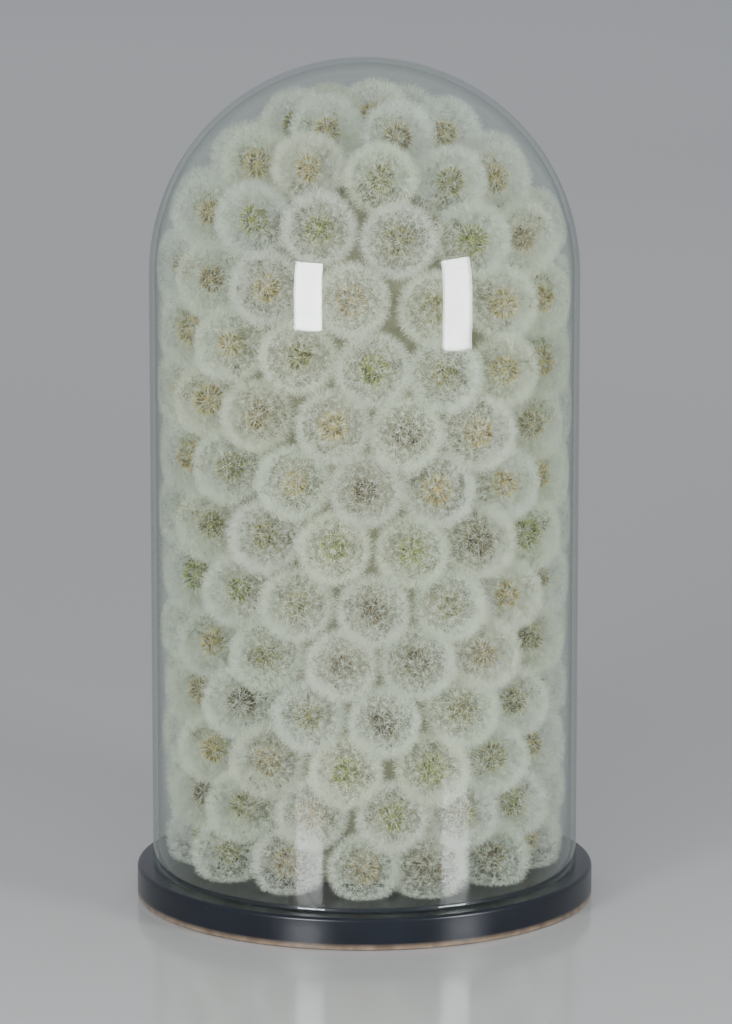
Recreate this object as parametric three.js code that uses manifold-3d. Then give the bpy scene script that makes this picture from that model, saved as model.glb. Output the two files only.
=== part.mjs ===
// A table display of preserved dandelion seed heads: a round turned base, a blown
// glass dome that stands on it, a foam core fixed to the base, and tiers of whole
// seed heads (dandelion clocks) set stem-inwards in the core so that they pack the
// space under the glass.
//
// Millimetres, +Z up. Origin: centre of the base's underside. The display's best
// side faces -Y; azimuths are measured from -Y towards +X.
//
// Each tier of seed heads is one solid: the outer balls of down, and behind them
// the band where the down and short stems of that tier are pressed together.

import * as THREE from "three";
import { mergeVertices } from "three/addons/utils/BufferGeometryUtils.js";
import Module from "manifold-3d";

// ---------- driving dimensions ----------
const BASE_R = 129; // turned base, outer radius
const BASE_H = 18; // base thickness at its outer ledge
const BASE_EDGE = 1.4; // rounding of the base's upper edge
const BASE_FOOT = 1.0; // bevel round the base's underside
const STEP_R = 115.6; // raised disc that locates the glass
const STEP_H = 2.0;

const GLASS_R = 120; // dome, outer radius
const GLASS_WALL = 3.0;
const GLASS_SHOULDER = 336.5; // height of the straight wall above the ledge
const GLASS_GAP = 0.3; // the rim rests on the ledge

const CORE_R_LOW = 66; // foam core, radius at the base
const CORE_R_HIGH = 72; // and at the shoulder
const CORE_SHOULDER = 318; // above the step
const CORE_CAP = 66; // height of the core's rounded top

const HEAD_R = 20.8; // a seed head's ball of down
const BAND_IN = 3.0; // the band's outer face lies this far inside the head centres
const GLASS_CLEAR = 1.2; // between the outermost down and the glass
const SLACK = 0.3; // clearance between neighbouring pieces

const BASE_SEGMENTS = 56;
const GLASS_SEGMENTS = 48;
const CORE_SEGMENTS = 24;
const BAND_SEGMENTS = 18;

const LEDGE_Z = BASE_H;
const STEP_Z = BASE_H + STEP_H;

// ---------- where the seed heads sit ----------
// Heights are above the ledge. Each head is [azimuth in degrees, height, radius of
// its centre from the axis]. "front" is placed head by head; "back" says how many
// heads close the ring behind, evenly spaced from its last front head round to its
// first.
const TIERS = [
  { name: "seed_heads_tier_01", back: 7, front: [[-82, 17.4, 92], [-54.8, 18.6, 92.6], [-27.2, 19.6, 92.6], [-0.2, 18.6, 92.6], [22.3, 17.4, 92.6], [50.3, 17, 92.6], [77, 17, 92.6]] },
  { name: "seed_heads_tier_02", back: 8, front: [[-73, 46, 93.4], [-46.1, 47.4, 93.5], [-17.8, 49.2, 93.6], [9.4, 48.2, 93.5], [35.5, 46.2, 93.4], [61.8, 44.3, 93.4]] },
  { name: "seed_heads_tier_03", back: 7, front: [[-88, 75.6, 94.4], [-62.8, 75.4, 94.4], [-34.5, 76.4, 94.4], [-6.2, 73.8, 94.3], [23.4, 73.8, 94.3], [48.5, 75.1, 94.4], [79, 72, 94.2]] },
  { name: "seed_heads_tier_04", back: 8, front: [[-74, 104.5, 95.2], [-45.8, 107, 95.4], [-18.5, 104.4, 95.3], [6.5, 102, 95.2], [34, 105, 95.3], [60.5, 103, 95.2]] },
  { name: "seed_heads_tier_05", back: 7, front: [[-86, 136.6, 96.3], [-60.7, 136.6, 96.3], [-33.7, 136.8, 96.3], [-7.4, 134, 96.2], [17.6, 134.6, 96.3], [43, 135, 96.3], [72.4, 134.4, 96.3]] },
  { name: "seed_heads_tier_06", back: 8, front: [[-73, 170.5, 97.4], [-45.5, 170.4, 97.4], [-22.3, 166.8, 97.3], [2.8, 164.8, 97.2], [28.7, 165.4, 97.2], [54, 166, 97.3]] },
  { name: "seed_heads_tier_07", back: 8, front: [[-86, 204, 98.5], [-59.1, 204, 98.5], [-33.4, 203.5, 98.5], [-9.6, 199.6, 98.3], [15.2, 197.6, 98.2], [39.8, 199.5, 98.3], [66, 196, 98.2]] },
  { name: "seed_heads_tier_08", back: 8, front: [[-74.5, 238, 99.5], [-47.9, 239.5, 99.7], [-22.8, 234.8, 99.4], [0.5, 232, 99.3], [23.5, 231, 99.3], [50.5, 229, 99.2], [77, 226, 99]] },
  { name: "seed_heads_tier_09", back: 8, front: [[-84, 274, 100.2], [-58.8, 274, 100.3], [-35.7, 270.3, 100.3], [-9.7, 267.4, 100.3], [12.9, 262.8, 100.3], [38.5, 260.2, 100.2], [66.4, 258, 100.1]] },
  { name: "seed_heads_tier_10", back: 8, front: [[-73.5, 308.8, 100.3], [-46.7, 307.4, 100.3], [-20.9, 304.8, 100.3], [2.7, 298.4, 100.3], [25.7, 294.4, 100.3], [49.5, 292.4, 100.3], [77, 290, 100.3]] },
  { name: "seed_heads_tier_11", back: 8, front: [[-86, 342, 99.4], [-57, 341.6, 100], [-31.8, 341, 100.2], [-4, 336.4, 100.3], [22.5, 330.6, 100.3], [49, 329.6, 100.3], [76, 325.6, 100.3]] },
  { name: "seed_heads_tier_12", back: 7, front: [[-72, 374.4, 89.4], [-42.6, 375.4, 88.8], [-15.7, 373.4, 90], [11.5, 367.6, 93.2], [38.5, 365.6, 93.6], [66, 361.6, 95.4]] },
  { name: "seed_heads_tier_13", back: 6, front: [[-66, 401, 64], [-28.1, 402.4, 64.4], [7.2, 398.4, 69.4], [41, 394.6, 71.4], [76, 391.6, 73.4]] },
  { name: "seed_heads_tier_14", back: 2, front: [[-88, 419.4, 37], [-36, 419.6, 35], [28, 416.6, 38.4], [86, 414.6, 44]] },
  { name: "seed_heads_tier_15", back: 0, front: [[60, 424.2, 6]] },
];

// Every seed head of a tier: its azimuth in radians, height above the origin and
// the radius of its centre.
function headsOf(tier) {
  const heads = tier.front.map(([a, z, r]) => [a, z, r]);
  if (tier.back) {
    const [a0, z0, r0] = tier.front[tier.front.length - 1];
    const [a1, z1, r1] = tier.front[0];
    const sweep = a1 + 360 - a0;
    for (let i = 1; i <= tier.back; i++) {
      const t = i / (tier.back + 1);
      heads.push([a0 + sweep * t, z0 + (z1 - z0) * t, r0 + (r1 - r0) * t]);
    }
  }
  return heads.map(([a, z, r]) => {
    const rad = (a * Math.PI) / 180;
    return {
      x: r * Math.sin(rad),
      y: -r * Math.cos(rad),
      z: z + LEDGE_Z,
      r,
    };
  });
}

// ---------- solids from three.js geometry ----------
const wasm = await Module();
wasm.setup();

function toSolid(geometry) {
  const g = geometry.clone();
  g.deleteAttribute("normal");
  g.deleteAttribute("uv");
  const merged = mergeVertices(g, 1e-4);
  return new wasm.Manifold(
    new wasm.Mesh({
      numProp: 3,
      vertProperties: new Float32Array(merged.attributes.position.array),
      triVerts: new Uint32Array(merged.index.array),
    }),
  );
}

function toGeometry(solid) {
  const m = solid.getMesh();
  const n = m.numProp;
  const v = new Float32Array(m.numVert * 3);
  for (let i = 0; i < m.numVert; i++)
    v.set(m.vertProperties.subarray(i * n, i * n + 3), i * 3);
  const g = new THREE.BufferGeometry();
  g.setAttribute("position", new THREE.BufferAttribute(v, 3));
  g.setIndex(new THREE.BufferAttribute(new Uint32Array(m.triVerts), 1));
  g.computeVertexNormals();
  return g;
}

// A body turned about Z from [radius, height] points, listed with the material on
// the left so that the faces point out.
function turned(points, segments) {
  const g = new THREE.LatheGeometry(
    points.map(([r, z]) => new THREE.Vector2(r, z)),
    segments,
  );
  g.rotateX(Math.PI / 2); // the lathe turns about Y
  return g;
}

function arc(cx, cz, r, from, to, steps) {
  const found = [];
  for (let i = 0; i <= steps; i++) {
    const a = ((from + ((to - from) * i) / steps) * Math.PI) / 180;
    found.push([cx + r * Math.cos(a), cz + r * Math.sin(a)]);
  }
  return found;
}

// ---------- the base ----------
const basePoints = [
  [0, 0],
  [BASE_R - BASE_FOOT, 0],
  [BASE_R, BASE_FOOT],
  ...arc(BASE_R - BASE_EDGE, LEDGE_Z - BASE_EDGE, BASE_EDGE, 0, 90, 3),
  [STEP_R, LEDGE_Z],
  [STEP_R, STEP_Z - 0.4],
  [STEP_R - 0.4, STEP_Z],
  [0, STEP_Z],
];

// ---------- the glass dome ----------
const rimZ = LEDGE_Z + GLASS_GAP;
const shoulderZ = LEDGE_Z + GLASS_SHOULDER;
const inner = GLASS_R - GLASS_WALL;
const clamp0 = (p) => [Math.abs(p[0]) < 1e-6 ? 0 : p[0], p[1]];
const glassPoints = [
  [inner, rimZ + 1.0],
  [inner + 1.0, rimZ],
  [GLASS_R - 1.0, rimZ],
  [GLASS_R, rimZ + 1.0],
  ...arc(0, shoulderZ, GLASS_R, 0, 90, 8).map(clamp0),
];
const glassInside = [
  ...arc(0, shoulderZ, inner, 90, 0, 8).map(clamp0),
  [inner, rimZ + 1.0],
];
const glassProfile = [...glassInside, ...glassPoints.slice(1)];

// ---------- the foam core ----------
const coreTop = STEP_Z + CORE_SHOULDER;
const corePoints = [
  [0, STEP_Z + SLACK],
  [CORE_R_LOW, STEP_Z + SLACK],
  [CORE_R_HIGH, coreTop],
];
for (let i = 1; i <= 5; i++) {
  const a = (i / 5) * (Math.PI / 2);
  corePoints.push(
    clamp0([CORE_R_HIGH * Math.cos(a), coreTop + CORE_CAP * Math.sin(a)]),
  );
}
// The core's radius at a height.
function coreRadius(z) {
  if (z <= coreTop)
    return (
      CORE_R_LOW +
      ((CORE_R_HIGH - CORE_R_LOW) * (z - STEP_Z)) / (coreTop - STEP_Z)
    );
  const s = (z - coreTop) / CORE_CAP;
  return s >= 1 ? 0 : CORE_R_HIGH * Math.sqrt(1 - s * s);
}

// ---------- the tiers of seed heads ----------
const ball = new THREE.IcosahedronGeometry(1, 0);

// One ball of down, faceted like a ball of twenty faces. It is turned to look straight
// out at the glass, and where the glass is nearer than the down is long, the ball is
// pressed flatter that way.
function ballAt(head, grow) {
  const out = new THREE.Vector3(head.x, head.y, Math.max(0, head.z - shoulderZ));
  const room = inner - GLASS_CLEAR - out.length();
  out.normalize();
  const turn = new THREE.Quaternion().setFromUnitVectors(
    new THREE.Vector3(0, 0, 1),
    out,
  );
  return ball.clone().applyMatrix4(
    new THREE.Matrix4().compose(
      new THREE.Vector3(head.x, head.y, head.z),
      turn,
      new THREE.Vector3(
        HEAD_R + grow,
        HEAD_R + grow,
        Math.min(HEAD_R, room) + grow,
      ),
    ),
  );
}

// The band behind a tier's balls, from just outside the core to just inside the
// centres of the heads.
function bandFor(heads, low, high, grow) {
  const outer = Math.min(...heads.map((h) => h.r)) - BAND_IN + grow;
  const flats = Math.cos(Math.PI / BAND_SEGMENTS); // a facet lies inside its corners
  const near = (Math.max(coreRadius(low), coreRadius(high)) + 0.5) / flats - grow;
  const l = low - grow;
  const h = high + grow;
  return near < 4
    ? turned([[0, l], [outer, l], [outer, h], [0, h]], BAND_SEGMENTS)
    : turned([[near, l], [outer, l], [outer, h], [near, h], [near, l]], BAND_SEGMENTS);
}

const centres = TIERS.map((t) => headsOf(t));
const meanZ = centres.map(
  (heads) => heads.reduce((s, h) => s + h.z, 0) / heads.length,
);

function tierSolid(k, grow) {
  const heads = centres[k];
  let solid = null;
  for (const h of heads) {
    const s = toSolid(ballAt(h, grow));
    solid = solid ? solid.add(s) : s;
  }
  if (heads.length > 1) {
    const low = k ? (meanZ[k - 1] + meanZ[k]) / 2 + 0.2 : STEP_Z + 0.9;
    const high = (meanZ[k] + meanZ[k + 1]) / 2 - 0.2;
    solid = solid.add(toSolid(bandFor(heads, low, high, grow)));
  }
  return solid;
}

// Everything below the down: the base with its locating step.
const floorSolid = toSolid(
  new THREE.CylinderGeometry(200, 200, 60, 8)
    .rotateX(Math.PI / 2)
    .translate(0, 0, STEP_Z + SLACK - 30),
);

const root = new THREE.Group();

function colour(hex, roughness, metalness = 0, more = {}) {
  return new THREE.MeshStandardMaterial({
    color: hex,
    roughness,
    metalness,
    ...more,
  });
}
const lacquer = colour(0x14171d, 0.35);
const clear = colour(0xdfe8e4, 0.03, 0, { transparent: true, opacity: 0.2 });
const foam = colour(0xdcdacb, 0.9);
const down = colour(0xd9dccf, 0.95);

function addMesh(name, geometry, material) {
  const mesh = new THREE.Mesh(geometry, material);
  mesh.name = name;
  root.add(mesh);
  return mesh;
}

addMesh("base", turned(basePoints, BASE_SEGMENTS), lacquer);
addMesh("glass_dome", turned(glassProfile, GLASS_SEGMENTS), clear);
addMesh("foam_core", turned(corePoints, CORE_SEGMENTS), foam);

for (let k = 0; k < TIERS.length; k++) {
  let solid = tierSolid(k, 0);
  if (k === 0) solid = solid.subtract(floorSolid);
  if (k > 0) solid = solid.subtract(tierSolid(k - 1, SLACK));
  if (k > 1) solid = solid.subtract(tierSolid(k - 2, SLACK));
  const bodies = solid.decompose().sort((a, b) => b.volume() - a.volume());
  addMesh(TIERS[k].name, toGeometry(bodies[0]), down);
}

export default root;
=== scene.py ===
"""Preserved dandelion seed heads under a glass dome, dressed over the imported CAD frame.

Every length below is in millimetres unless it says otherwise, and is turned into
metres when a mesh is made. Azimuth 0 is the front, -Y, and grows towards +X.
"""

import math

import bpy
import numpy as np
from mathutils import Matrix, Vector


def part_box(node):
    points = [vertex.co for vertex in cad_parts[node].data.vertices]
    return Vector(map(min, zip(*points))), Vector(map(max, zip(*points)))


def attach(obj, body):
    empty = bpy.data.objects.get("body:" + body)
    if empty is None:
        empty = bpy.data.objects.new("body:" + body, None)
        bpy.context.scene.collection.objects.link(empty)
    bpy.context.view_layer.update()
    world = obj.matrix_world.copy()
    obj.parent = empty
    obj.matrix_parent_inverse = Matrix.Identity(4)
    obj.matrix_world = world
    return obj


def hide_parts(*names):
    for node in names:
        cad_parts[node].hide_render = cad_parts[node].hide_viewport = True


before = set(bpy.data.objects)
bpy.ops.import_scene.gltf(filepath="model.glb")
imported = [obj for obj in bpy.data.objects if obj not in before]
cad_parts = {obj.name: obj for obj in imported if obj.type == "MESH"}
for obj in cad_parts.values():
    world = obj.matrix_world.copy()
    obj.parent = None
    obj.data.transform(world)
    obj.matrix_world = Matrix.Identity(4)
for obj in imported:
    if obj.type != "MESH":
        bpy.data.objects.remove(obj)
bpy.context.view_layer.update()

# ---------------------------------------------------------------- sizes
lo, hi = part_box("base")
BASE_R = (hi.x - lo.x) * 500
STEP_Z = hi.z * 1000
LEDGE_Z = STEP_Z - 2.0
lo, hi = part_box("glass_dome")
GLASS_R = (hi.x - lo.x) * 500
GLASS_TOP = hi.z * 1000
RIM_Z = lo.z * 1000
SHOULDER_Z = GLASS_TOP - GLASS_R
GLASS_IN = GLASS_R - 3.0
STEP_R = 115.6
HEAD_R = 20.8

# ---------------------------------------------------------------- heads
# The same tiers as the CAD: azimuth, height above the ledge, radius of the centre.
TIERS = [
    (7, [(-82, 17.4, 92), (-54.8, 18.6, 92.6), (-27.2, 19.6, 92.6), (-0.2, 18.6, 92.6), (22.3, 17.4, 92.6), (50.3, 17, 92.6), (77, 17, 92.6)]),
    (8, [(-73, 46, 93.4), (-46.1, 47.4, 93.5), (-17.8, 49.2, 93.6), (9.4, 48.2, 93.5), (35.5, 46.2, 93.4), (61.8, 44.3, 93.4)]),
    (7, [(-88, 75.6, 94.4), (-62.8, 75.4, 94.4), (-34.5, 76.4, 94.4), (-6.2, 73.8, 94.3), (23.4, 73.8, 94.3), (48.5, 75.1, 94.4), (79, 72, 94.2)]),
    (8, [(-74, 104.5, 95.2), (-45.8, 107, 95.4), (-18.5, 104.4, 95.3), (6.5, 102, 95.2), (34, 105, 95.3), (60.5, 103, 95.2)]),
    (7, [(-86, 136.6, 96.3), (-60.7, 136.6, 96.3), (-33.7, 136.8, 96.3), (-7.4, 134, 96.2), (17.6, 134.6, 96.3), (43, 135, 96.3), (72.4, 134.4, 96.3)]),
    (8, [(-73, 170.5, 97.4), (-45.5, 170.4, 97.4), (-22.3, 166.8, 97.3), (2.8, 164.8, 97.2), (28.7, 165.4, 97.2), (54, 166, 97.3)]),
    (8, [(-86, 204, 98.5), (-59.1, 204, 98.5), (-33.4, 203.5, 98.5), (-9.6, 199.6, 98.3), (15.2, 197.6, 98.2), (39.8, 199.5, 98.3), (66, 196, 98.2)]),
    (8, [(-74.5, 238, 99.5), (-47.9, 239.5, 99.7), (-22.8, 234.8, 99.4), (0.5, 232, 99.3), (23.5, 231, 99.3), (50.5, 229, 99.2), (77, 226, 99)]),
    (8, [(-84, 274, 100.2), (-58.8, 274, 100.3), (-35.7, 270.3, 100.3), (-9.7, 267.4, 100.3), (12.9, 262.8, 100.3), (38.5, 260.2, 100.2), (66.4, 258, 100.1)]),
    (8, [(-73.5, 308.8, 100.3), (-46.7, 307.4, 100.3), (-20.9, 304.8, 100.3), (2.7, 298.4, 100.3), (25.7, 294.4, 100.3), (49.5, 292.4, 100.3), (77, 290, 100.3)]),
    (8, [(-86, 342, 99.4), (-57, 341.6, 100), (-31.8, 341, 100.2), (-4, 336.4, 100.3), (22.5, 330.6, 100.3), (49, 329.6, 100.3), (76, 325.6, 100.3)]),
    (7, [(-72, 374.4, 89.4), (-42.6, 375.4, 88.8), (-15.7, 373.4, 90), (11.5, 367.6, 93.2), (38.5, 365.6, 93.6), (66, 361.6, 95.4)]),
    (6, [(-66, 401, 64), (-28.1, 402.4, 64.4), (7.2, 398.4, 69.4), (41, 394.6, 71.4), (76, 391.6, 73.4)]),
    (2, [(-88, 419.4, 37), (-36, 419.6, 35), (28, 416.6, 38.4), (86, 414.6, 44)]),
    (0, [(60, 424.2, 6)]),
]

# Centre colours, from the seeds and the cut receptacle, in linear light.
KINDS = {
    "green": ((0.10, 0.125, 0.010), (0.42, 0.44, 0.06)),
    "olive": ((0.09, 0.085, 0.015), (0.42, 0.39, 0.09)),
    "gold": ((0.26, 0.19, 0.035), (0.66, 0.55, 0.17)),
    "tan": ((0.17, 0.12, 0.035), (0.56, 0.47, 0.20)),
    "brown": ((0.045, 0.032, 0.014), (0.30, 0.235, 0.09)),
}
# The front heads whose centres stand out, as (tier, place in its front row).
NAMED = {
    (1, 3): "green", (2, 3): "green", (2, 4): "green", (3, 3): "brown", (4, 3): "brown",
    (5, 3): "brown", (6, 3): "green", (6, 4): "green", (7, 3): "brown", (9, 3): "green",
    (9, 4): "olive", (8, 4): "brown", (11, 2): "green", (11, 3): "olive", (11, 4): "green",
    (8, 3): "gold", (7, 4): "gold", (7, 2): "gold", (10, 3): "tan", (12, 2): "olive",
    (1, 5): "green", (7, 1): "olive", (8, 1): "gold", (9, 1): "gold", (10, 2): "gold",
}


def centres():
    """[(tier, kind, centre, outward)] for every head."""
    rng = np.random.default_rng(11)
    mix = ["green", "olive", "gold", "tan", "brown", "gold", "tan", "olive"]
    found = []
    for k, (back, front) in enumerate(TIERS):
        heads = [list(h) + [NAMED.get((k, i))] for i, h in enumerate(front)]
        if back:
            a0, z0, r0 = front[-1]
            a1, z1, r1 = front[0]
            for i in range(1, back + 1):
                t = i / (back + 1)
                heads.append(
                    [a0 + (a1 + 360 - a0) * t, z0 + (z1 - z0) * t, r0 + (r1 - r0) * t, None]
                )
        for a, z, r, kind in heads:
            a = math.radians(a)
            c = np.array([r * math.sin(a), -r * math.cos(a), z + LEDGE_Z])
            out = np.array([c[0], c[1], max(0.0, (c[2] - SHOULDER_Z + 10) * 1.0)])
            out /= np.linalg.norm(out)
            found.append((k, kind or mix[rng.integers(len(mix))], c, out))
    return found


# ---------------------------------------------------------------- mesh helpers
def mesh_object(name, verts_mm, faces, smooth=False):
    me = bpy.data.meshes.new(name)
    v = np.asarray(verts_mm, np.float32) / 1000.0
    f = np.asarray(faces, np.int32)
    me.vertices.add(len(v))
    me.vertices.foreach_set("co", v.ravel())
    n = f.shape[1]
    me.loops.add(len(f) * n)
    me.loops.foreach_set("vertex_index", f.ravel())
    me.polygons.add(len(f))
    me.polygons.foreach_set("loop_start", np.arange(0, len(f) * n, n, dtype=np.int32))
    me.polygons.foreach_set("loop_total", np.full(len(f), n, np.int32))
    me.update(calc_edges=True)
    me.validate()
    me.polygons.foreach_set("use_smooth", np.full(len(me.polygons), smooth))
    ob = bpy.data.objects.new(name, me)
    bpy.context.scene.collection.objects.link(ob)
    return ob


def turned(name, profile, segments, closed=False):
    """A body turned about Z from (radius, height) points; a point on the axis is one vertex."""
    verts, rows = [], []
    for r, z in profile:
        if r < 1e-6:
            rows.append([len(verts)] * segments)
            verts.append((0, 0, z))
        else:
            rows.append(list(range(len(verts), len(verts) + segments)))
            for i in range(segments):
                a = 2 * math.pi * i / segments
                verts.append((r * math.cos(a), r * math.sin(a), z))
    me = bpy.data.meshes.new(name)
    faces = []
    pairs = list(zip(rows, rows[1:])) + ([(rows[-1], rows[0])] if closed else [])
    for p, q in pairs:
        for i in range(segments):
            j = (i + 1) % segments
            loop = []
            for v in (p[i], p[j], q[j], q[i]):
                if v not in loop:
                    loop.append(v)
            if len(loop) > 2:
                faces.append(loop)
    me.from_pydata([(x / 1000, y / 1000, z / 1000) for x, y, z in verts], [], faces)
    me.validate()
    me.polygons.foreach_set("use_smooth", [True] * len(me.polygons))
    ob = bpy.data.objects.new(name, me)
    bpy.context.scene.collection.objects.link(ob)
    return ob


def arc(cx, cz, r, a0, a1, n):
    return [
        (
            max(0.0, cx + r * math.cos(math.radians(a0 + (a1 - a0) * i / n))),
            cz + r * math.sin(math.radians(a0 + (a1 - a0) * i / n)),
        )
        for i in range(n + 1)
    ]


# ---------------------------------------------------------------- node helpers
def material(name):
    mat = bpy.data.materials.new(name)
    mat.use_nodes = True
    nt = mat.node_tree
    nt.nodes.clear()
    out = nt.nodes.new("ShaderNodeOutputMaterial")
    return mat, nt, out


def noise(nt, scale, detail=3.0, rough=0.5):
    tc = nt.nodes.new("ShaderNodeTexCoord")
    n = nt.nodes.new("ShaderNodeTexNoise")
    n.inputs["Scale"].default_value = scale
    n.inputs["Detail"].default_value = detail
    n.inputs["Roughness"].default_value = rough
    nt.links.new(tc.outputs["Object"], n.inputs["Vector"])
    return n


def ramp(nt, source, stops):
    r = nt.nodes.new("ShaderNodeValToRGB")
    r.color_ramp.elements[0].position = stops[0][0]
    r.color_ramp.elements[0].color = (*stops[0][1], 1)
    r.color_ramp.elements[1].position = stops[-1][0]
    r.color_ramp.elements[1].color = (*stops[-1][1], 1)
    for p, c in stops[1:-1]:
        e = r.color_ramp.elements.new(p)
        e.color = (*c, 1)
    nt.links.new(source, r.inputs["Fac"])
    return r


def tinted(nt, attribute, scale, low, high):
    """The piece's own painted tint, broken up by a fine noise."""
    at = nt.nodes.new("ShaderNodeAttribute")
    at.attribute_name = attribute
    n = noise(nt, scale)
    r = ramp(nt, n.outputs["Fac"], [(0.3, (low,) * 3), (0.7, (high,) * 3)])
    m = nt.nodes.new("ShaderNodeMix")
    m.data_type = "RGBA"
    m.blend_type = "MULTIPLY"
    m.inputs["Factor"].default_value = 1.0
    nt.links.new(at.outputs["Color"], m.inputs[6])
    nt.links.new(r.outputs["Color"], m.inputs[7])
    return m.outputs[2]


def down_material():
    mat, nt, out = material("seed_down")
    colour = tinted(nt, "tint", 260.0, 0.9, 1.0)
    p = nt.nodes.new("ShaderNodeBsdfPrincipled")
    p.inputs["Roughness"].default_value = 0.55
    p.inputs["Specular IOR Level"].default_value = 0.35
    t = nt.nodes.new("ShaderNodeBsdfTranslucent")
    mix = nt.nodes.new("ShaderNodeMixShader")
    mix.inputs["Fac"].default_value = 0.42
    nt.links.new(colour, p.inputs["Base Color"])
    nt.links.new(colour, t.inputs["Color"])
    nt.links.new(p.outputs[0], mix.inputs[1])
    nt.links.new(t.outputs[0], mix.inputs[2])
    nt.links.new(mix.outputs[0], out.inputs["Surface"])
    return mat


def seed_material():
    mat, nt, out = material("seed_and_receptacle")
    colour = tinted(nt, "tint", 900.0, 0.55, 1.15)
    p = nt.nodes.new("ShaderNodeBsdfPrincipled")
    p.inputs["Roughness"].default_value = 0.62
    nt.links.new(colour, p.inputs["Base Color"])
    nt.links.new(p.outputs[0], out.inputs["Surface"])
    return mat


# ---------------------------------------------------------------- one seed head
N_CHUTES = 126
N_HAIRS = 40


def unit(v):
    return v / np.linalg.norm(v, axis=-1, keepdims=True)


def frame_of(d):
    """Two unit vectors square to each d."""
    ref = np.where(np.abs(d[:, 2:3]) < 0.9, [[0.0, 0.0, 1.0]], [[1.0, 0.0, 0.0]])
    e1 = unit(np.cross(d, ref))
    return e1, np.cross(d, e1)


def pressed(p):
    """Points pressed back where the glass or the base is in the way."""
    p = p.copy()
    up = np.maximum(0.0, p[:, 2] - SHOULDER_Z)
    rho = np.sqrt(p[:, 0] ** 2 + p[:, 1] ** 2 + up**2)
    soft, room = 112.5, 3.6
    over = np.maximum(0.0, rho - soft)
    new = np.where(over > 0, soft + room * (1 - np.exp(-over / room)), rho)
    k = new / np.maximum(rho, 1e-9)
    p[:, 0] *= k
    p[:, 1] *= k
    p[:, 2] = np.where(up > 0, SHOULDER_Z + up * k, p[:, 2])
    low = STEP_Z + 4.0
    under = np.maximum(0.0, low - p[:, 2])
    p[:, 2] = np.where(under > 0, low - 3.5 * (1 - np.exp(-under / 3.5)), p[:, 2])
    return p


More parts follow.
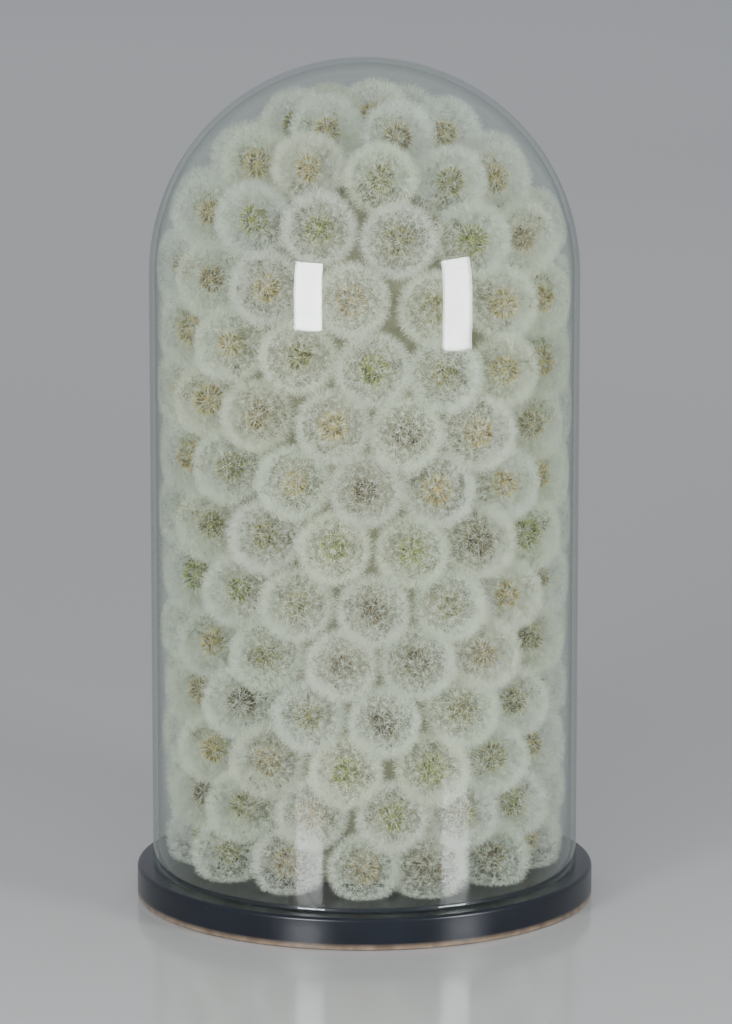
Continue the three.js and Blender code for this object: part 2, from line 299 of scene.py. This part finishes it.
def seed_head(rng, centre, out, kind):
    """Vertices (mm), triangles, tints and material numbers of one head."""
    size = rng.uniform(0.97, 1.04)
    thick = rng.uniform(0.82, 1.08)
    heart = rng.uniform(0.95, 1.25)
    dark, light = (np.array(c) for c in KINDS[kind])
    white = np.array([0.875, 0.915, 0.80]) * rng.uniform(0.93, 1.03) * np.array(
        [1 + rng.uniform(-0.02, 0.02), 1, 1 + rng.uniform(-0.05, 0.04)]
    )
    # evenly spread directions, turned at random, none down the stem
    n = N_CHUTES
    i = np.arange(n) + 0.5
    z = 1 - 2 * i / n
    a = i * math.pi * (3 - math.sqrt(5)) + rng.uniform(0, 2 * math.pi)
    d = np.stack([np.sqrt(1 - z * z) * np.cos(a), np.sqrt(1 - z * z) * np.sin(a), z], 1)
    t1 = unit(np.cross(out, [0.12, 0.31, 0.94]))
    t2 = np.cross(out, t1)
    d = d[:, :1] * t1 + d[:, 1:2] * t2 + d[:, 2:] * out
    d = unit(d + rng.normal(0, 0.045, d.shape))
    d = d[d @ out > -0.86]
    n = len(d)
    e1, e2 = frame_of(d)

    verts, tris, tint, mats = [], [], [], []
    count = 0

    def add(v, f, c, m):
        nonlocal count
        verts.append(v)
        tris.append(f + count)
        tint.append(c)
        mats.append(np.full(len(f), m))
        count += len(v)

    # pappus: each hair is one long thin triangle, and the hidden inner ones are fewer
    tip_r = 16.3 * size * rng.uniform(0.96, 1.03, (n, 1))
    knot = centre + d * tip_r
    inner = (d @ out) < -0.25
    for group, h, wide in ((~inner, N_HAIRS, 0.087 * thick), (inner, N_HAIRS // 2, 0.14)):
        m = int(group.sum())
        b_ = np.repeat(tip_r[group], h, 0)
        phi = (np.arange(h)[None] + rng.uniform(0, 1, (m, h))) * (2 * math.pi / h)
        theta = np.radians(
            np.where(
                np.arange(h)[None] % 3 == 0,
                rng.uniform(12, 42, (m, h)),
                rng.uniform(42, 80, (m, h)),
            )
        )
        u = (
            np.cos(theta)[..., None] * d[group][:, None]
            + (np.sin(theta) * np.cos(phi))[..., None] * e1[group][:, None]
            + (np.sin(theta) * np.sin(phi))[..., None] * e2[group][:, None]
        ).reshape(-1, 3)
        theta = theta.reshape(-1, 1)
        edge = 1.15 * HEAD_R * size * rng.uniform(0.94, 1.02, (len(u), 1))
        reach = np.sqrt(np.maximum(edge**2 - (b_ * np.sin(theta)) ** 2, 0)) - b_ * np.cos(theta)
        length = np.minimum(reach, 8.8 * rng.uniform(0.82, 1.0, (len(u), 1)))
        flat = theta > math.radians(52)  # these widen outwards, so the knots don't show as dots
        start = rng.uniform(0.4, 1.3, (len(u), 1))
        root = np.repeat(knot[group], h, 0) + u * np.where(flat, length, start)
        length = np.where(flat, start - length, length - start)
        side = unit(np.cross(u, unit(rng.normal(size=u.shape)))) * wide
        v = np.stack([root - side, root + side, root + u * length], 1).reshape(-1, 3)
        f = np.arange(len(v)).reshape(-1, 3)
        shade = np.tile([[0.95], [0.95], [1.0]], (len(u), 1))
        add(v, f, shade * white, 0)

    # beaks: the thin stalk between seed and pappus, one sliver each
    foot = centre + d * (6.9 * heart)
    for e in (e1,):
        w = e * 0.17
        v = np.stack([foot - w, foot + w, knot], 1).reshape(-1, 3)
        f = np.arange(len(v)).reshape(-1, 3)
        c = np.tile(np.stack([light * 1.15, light * 1.15, light * 0.5 + white * 0.5], 0), (n, 1))
        add(v, f, c, 0)

    # seeds: three-sided spindles
    s0 = centre + d * (3.1 * heart)
    s1 = centre + d * (5.9 * heart)
    s2 = centre + d * (7.8 * heart)
    ring = [
        s1 + (e1 * math.cos(q) + e2 * math.sin(q)) * 0.62
        for q in (0.0, 2 * math.pi / 3, 4 * math.pi / 3)
    ]
    v = np.stack([s0, *ring, s2], 1).reshape(-1, 3)
    one = np.array([[0, 2, 1], [0, 3, 2], [0, 1, 3], [4, 1, 2], [4, 2, 3], [4, 3, 1]])
    f = (one[None] + (np.arange(n) * 5)[:, None, None]).reshape(-1, 3)
    each = rng.uniform(0, 1, (n, 1))
    c = dark * (1 - each) + light * each
    c = np.repeat(c, 5, 0) * np.tile([[0.55], [1], [1], [1], [1.5]], (n, 1))
    add(v, f, c, 1)

    # receptacle: a small pitted cushion
    rings, seg = 4, 8
    vs = [centre + out * 3.4 * size]
    for j in range(1, rings + 1):
        b = math.pi * j / (rings + 1)
        for q in range(seg):
            g = 2 * math.pi * (q + 0.5 * (j % 2)) / seg
            dirn = out * math.cos(b) + (t1 * math.cos(g) + t2 * math.sin(g)) * math.sin(b)
            vs.append(centre + dirn * 3.3 * size)
    vs.append(centre - out * 3.1 * size)
    v = np.array(vs)
    f = [[0, 1 + q, 1 + (q + 1) % seg] for q in range(seg)]
    for j in range(rings - 1):
        p, q0 = 1 + j * seg, 1 + (j + 1) * seg
        for q in range(seg):
            r_ = (q + 1) % seg
            f += [[p + q, q0 + q, q0 + r_], [p + q, q0 + r_, p + r_]]
    last = len(v) - 1
    p = 1 + (rings - 1) * seg
    f += [[last, p + (q + 1) % seg, p + q] for q in range(seg)]
    add(v, np.array(f), np.tile(dark * 0.8 + light * 0.35, (len(v), 1)), 1)

    # folded-back bracts and the short stem that goes into the core
    nb = 9
    g = 2 * math.pi * np.arange(nb) / nb + rng.uniform(0, 1)
    sideways = np.cos(g)[:, None] * t1 + np.sin(g)[:, None] * t2
    b0 = centre - out * 2.2 + sideways * 2.6
    b1 = centre - out * 8.5 + sideways * 4.6
    across = np.cross(sideways, out) * 0.9
    v = np.stack([b0 - across, b0 + across, b1], 1).reshape(-1, 3)
    add(v, np.arange(len(v)).reshape(-1, 3), np.tile([0.40, 0.42, 0.22], (len(v), 1)), 1)
    reach = max(4.0, np.hypot(centre[0], centre[1]) - 71.0) if centre[2] < SHOULDER_Z else 18.0
    seg = 5
    g = 2 * math.pi * np.arange(seg) / seg
    sideways = np.cos(g)[:, None] * t1 + np.sin(g)[:, None] * t2
    v = np.concatenate([centre - out * 2.5 + sideways * 0.85, centre - out * reach + sideways * 0.95])
    f = []
    for q in range(seg):
        r_ = (q + 1) % seg
        f += [[q, seg + q, seg + r_], [q, seg + r_, r_]]
    add(v, np.array(f), np.tile([0.60, 0.61, 0.42], (len(v), 1)), 1)

    return (
        np.concatenate(verts),
        np.concatenate(tris),
        np.concatenate(tint),
        np.concatenate(mats),
    )


def tier_piece(k, heads, mats):
    parts, count = [], 0
    for j, (kind, centre, out) in enumerate(heads):
        rng = np.random.default_rng(1000 * k + j)
        v, f, c, m = seed_head(rng, centre, out, kind)
        parts.append((pressed(v), f + count, c, m))
        count += len(v)
    v, f, c, m = (np.concatenate(x) for x in zip(*parts))
    name = f"seed_heads_{k + 1:02d}"
    me = bpy.data.meshes.new(name)
    me.vertices.add(len(v))
    me.vertices.foreach_set("co", (v / 1000.0).astype(np.float32).ravel())
    me.loops.add(len(f) * 3)
    me.loops.foreach_set("vertex_index", f.astype(np.int32).ravel())
    me.polygons.add(len(f))
    me.polygons.foreach_set("loop_start", np.arange(0, len(f) * 3, 3, dtype=np.int32))
    me.polygons.foreach_set("loop_total", np.full(len(f), 3, np.int32))
    me.polygons.foreach_set("material_index", m.astype(np.int32))
    at = me.color_attributes.new("tint", "FLOAT_COLOR", "POINT")
    rgba = np.ones((len(v), 4), np.float32)
    rgba[:, :3] = c
    at.data.foreach_set("color", rgba.ravel())
    me.update(calc_edges=True)
    ob = bpy.data.objects.new(name, me)
    bpy.context.scene.collection.objects.link(ob)
    for mat in mats:
        me.materials.append(mat)
    return ob


ALL = centres()
mats = (down_material(), seed_material())
for k in range(len(TIERS)):
    ob = tier_piece(k, [(kind, c, o) for t, kind, c, o in ALL if t == k], mats)
    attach(ob, "root")
    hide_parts(f"seed_heads_tier_{k + 1:02d}")


# ---------------------------------------------------------------- foam core
def foam_material():
    mat, nt, out = material("core_foam")
    n = noise(nt, 55.0, 4.0)
    r = ramp(nt, n.outputs["Fac"], [(0.3, (0.16, 0.16, 0.10)), (0.7, (0.30, 0.29, 0.19))])
    p = nt.nodes.new("ShaderNodeBsdfPrincipled")
    p.inputs["Roughness"].default_value = 0.9
    nt.links.new(r.outputs["Color"], p.inputs["Base Color"])
    b = nt.nodes.new("ShaderNodeBump")
    b.inputs["Strength"].default_value = 0.5
    b.inputs["Distance"].default_value = 0.001
    fine = noise(nt, 700.0, 2.0)
    nt.links.new(fine.outputs["Fac"], b.inputs["Height"])
    nt.links.new(b.outputs["Normal"], p.inputs["Normal"])
    nt.links.new(p.outputs[0], out.inputs["Surface"])
    return mat


core = turned(
    "foam_block",
    [(0.0, STEP_Z + 0.35), (64.5, STEP_Z + 0.35), (65.8, STEP_Z + 1.8)]
    + [(66 + 6 * t / 8, STEP_Z + 318 * t / 8) for t in range(1, 9)]
    + [
        (max(0.0, 72 * math.cos(t / 10 * math.pi / 2)) if t < 10 else 0.0,
         STEP_Z + 318 + 66 * math.sin(t / 10 * math.pi / 2))
        for t in range(1, 11)
    ],
    96,
)
core.data.materials.append(foam_material())
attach(core, "root")
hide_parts("foam_core")


# ---------------------------------------------------------------- glass
def glass_material():
    mat, nt, out = material("dome_glass")
    clear = nt.nodes.new("ShaderNodeBsdfTransparent")
    gloss = nt.nodes.new("ShaderNodeBsdfGlossy")
    gloss.inputs["Roughness"].default_value = 0.015
    gloss.inputs["Color"].default_value = (1, 1, 1, 1)
    facing = nt.nodes.new("ShaderNodeLayerWeight")
    facing.inputs["Blend"].default_value = 0.5
    power = nt.nodes.new("ShaderNodeMath")
    power.operation = "POWER"
    power.inputs[1].default_value = 5.0
    nt.links.new(facing.outputs["Facing"], power.inputs[0])
    fres = nt.nodes.new("ShaderNodeMath")
    fres.operation = "MULTIPLY_ADD"
    fres.inputs[1].default_value = 0.72
    fres.inputs[2].default_value = 0.035
    nt.links.new(power.outputs[0], fres.inputs[0])
    tint = ramp(
        nt,
        facing.outputs["Facing"],
        [(0.0, (0.985, 0.99, 0.985)), (0.72, (0.93, 0.955, 0.94)), (0.93, (0.55, 0.62, 0.58)), (1.0, (0.22, 0.28, 0.25))],
    )
    nt.links.new(tint.outputs["Color"], clear.inputs["Color"])
    mix = nt.nodes.new("ShaderNodeMixShader")
    nt.links.new(fres.outputs[0], mix.inputs["Fac"])
    nt.links.new(clear.outputs[0], mix.inputs[1])
    nt.links.new(gloss.outputs[0], mix.inputs[2])
    nt.links.new(mix.outputs[0], out.inputs["Surface"])
    return mat


rim = 1.45
outer = [(GLASS_R, RIM_Z + 1.5)] + [
    (GLASS_R, RIM_Z + 1.5 + (SHOULDER_Z - RIM_Z - 1.5) * t / 20) for t in range(1, 20)
] + arc(0, SHOULDER_Z, GLASS_R, 0, 90, 40)
inner = arc(0, SHOULDER_Z, GLASS_IN, 90, 0, 40) + [
    (GLASS_IN, RIM_Z + 1.5 + (SHOULDER_Z - RIM_Z - 1.5) * t / 20) for t in range(19, -1, -1)
]
lip = [(GLASS_R - 1.5 + 1.5 * math.cos(q), RIM_Z + 1.5 - 1.5 * math.sin(q)) for q in (math.pi * x / 8 for x in range(1, 8))]
outer[-1] = (0.0, outer[-1][1])
inner[0] = (0.0, inner[0][1])
dome = turned("dome_glass", lip[::-1] + outer + inner, 160, closed=True)
dome.data.materials.append(glass_material())
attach(dome, "root")
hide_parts("glass_dome")


# ---------------------------------------------------------------- base
def lacquer_material():
    mat, nt, out = material("base_lacquer")
    n = noise(nt, 30.0, 3.0)
    r = ramp(nt, n.outputs["Fac"], [(0.3, (0.0065, 0.008, 0.012)), (0.7, (0.009, 0.011, 0.016))])
    # the colour turns to a warm tan in the lowest half millimetre, a thin line along the bottom edge
    tc = nt.nodes.new("ShaderNodeTexCoord")
    xyz = nt.nodes.new("ShaderNodeSeparateXYZ")
    nt.links.new(tc.outputs["Object"], xyz.inputs[0])
    edge = ramp(nt, xyz.outputs["Z"], [(0.00025, (1, 1, 1)), (0.0005, (0, 0, 0))])
    bottom_line_tan = ramp(nt, noise(nt, 150.0, 4.0).outputs["Fac"], [(0.3, (0.17, 0.12, 0.08)), (0.7, (0.33, 0.24, 0.165))])
    mix = nt.nodes.new("ShaderNodeMix")
    mix.data_type = "RGBA"
    nt.links.new(edge.outputs["Color"], mix.inputs["Factor"])
    nt.links.new(r.outputs["Color"], mix.inputs[6])
    nt.links.new(bottom_line_tan.outputs["Color"], mix.inputs[7])
    p = nt.nodes.new("ShaderNodeBsdfPrincipled")
    p.inputs["Specular IOR Level"].default_value = 0.3
    p.inputs["Roughness"].default_value = 0.27
    nt.links.new(mix.outputs[2], p.inputs["Base Color"])
    b = nt.nodes.new("ShaderNodeBump")
    b.inputs["Strength"].default_value = 0.04
    b.inputs["Distance"].default_value = 0.0003
    nt.links.new(noise(nt, 900.0, 2.0).outputs["Fac"], b.inputs["Height"])
    nt.links.new(b.outputs["Normal"], p.inputs["Normal"])
    nt.links.new(p.outputs[0], out.inputs["Surface"])
    return mat


base = turned(
    "base_disc",
    [(0.0, 0.0), (BASE_R - 2.5, 0.0)]
    + arc(BASE_R - 1.2, 1.2, 1.2, -90, 0, 5)
    + arc(BASE_R - 2.2, LEDGE_Z - 2.2, 2.2, 0, 90, 8)
    + [(STEP_R + 0.8, LEDGE_Z), (STEP_R + 0.2, LEDGE_Z + 0.15), (STEP_R, LEDGE_Z + 0.6)]
    + arc(STEP_R - 0.8, STEP_Z - 0.8, 0.8, 0, 90, 4)
    + [(STEP_R - 3, STEP_Z), (40.0, STEP_Z), (0.0, STEP_Z)],
    192,
)
base.data.materials.append(lacquer_material())
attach(base, "root")
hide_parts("base")

# ---------------------------------------------------------------- stage
floor_mat, nt, out = material("studio_floor")
p = nt.nodes.new("ShaderNodeBsdfPrincipled")
p.inputs["Base Color"].default_value = (0.36, 0.36, 0.355, 1)
p.inputs["Roughness"].default_value = 0.13
nt.links.new(p.outputs[0], out.inputs["Surface"])
bpy.ops.mesh.primitive_plane_add(size=60, location=(0, 0, -0.0002))
floor = bpy.context.object
floor.name = "studio_floor"
floor.data.materials.append(floor_mat)

world = bpy.data.worlds.new("studio")
bpy.context.scene.world = world
world.use_nodes = True
bg = world.node_tree.nodes["Background"]
bg.inputs["Color"].default_value = (0.82, 0.86, 0.92, 1)
bg.inputs["Strength"].default_value = 0.56


def area(name, place, target, size, power, colour=(1, 1, 1)):
    data = bpy.data.lights.new(name, "AREA")
    data.shape = "RECTANGLE"
    data.size, data.size_y = size
    data.energy = power
    data.color = colour
    ob = bpy.data.objects.new(name, data)
    ob.location = place
    ob.rotation_euler = (Vector(target) - Vector(place)).to_track_quat("-Z", "Y").to_euler()
    bpy.context.scene.collection.objects.link(ob)
    return ob


CENTRE = (0, 0, 0.24)
area("panel_left", (-0.534, -0.98, 0.392), (0, 0, 0.392), (0.27, 0.417), 15, (0.95, 0.98, 1.0))
area("panel_right", (0.826, -0.74, 0.38), (0, 0, 0.38), (0.29, 0.43), 13, (0.95, 0.98, 1.0))
fill = [
    area("front", (-0.4, -4.4, 3.8), CENTRE, (5.0, 3.2), 92, (1.0, 0.99, 0.96)),
    area("back", (0.9, 2.4, 1.5), CENTRE, (0.5, 0.35), 7),
    area("back_soft", (-1.5, 4.0, 2.8), CENTRE, (4.4, 3.0), 46, (1.0, 0.99, 0.96)),
]
# the fill lights the down and leaves no mirror image on the glass
for light in fill:
    light.visible_glossy = False

# ---------------------------------------------------------------- camera
cam_data = bpy.data.cameras.new("camera")
cam_data.lens = 190.0
cam_data.sensor_width = 36.0
cam = bpy.data.objects.new("camera", cam_data)
el = math.radians(11.0)
aim = Vector((0.0008, 0.0, 0.219))
cam.location = aim + Vector((0, -math.cos(el), math.sin(el))) * 3.035
cam.rotation_euler = (aim - cam.location).to_track_quat("-Z", "Y").to_euler()
bpy.context.scene.collection.objects.link(cam)
bpy.context.scene.camera = cam

bpy.context.view_layer.update()
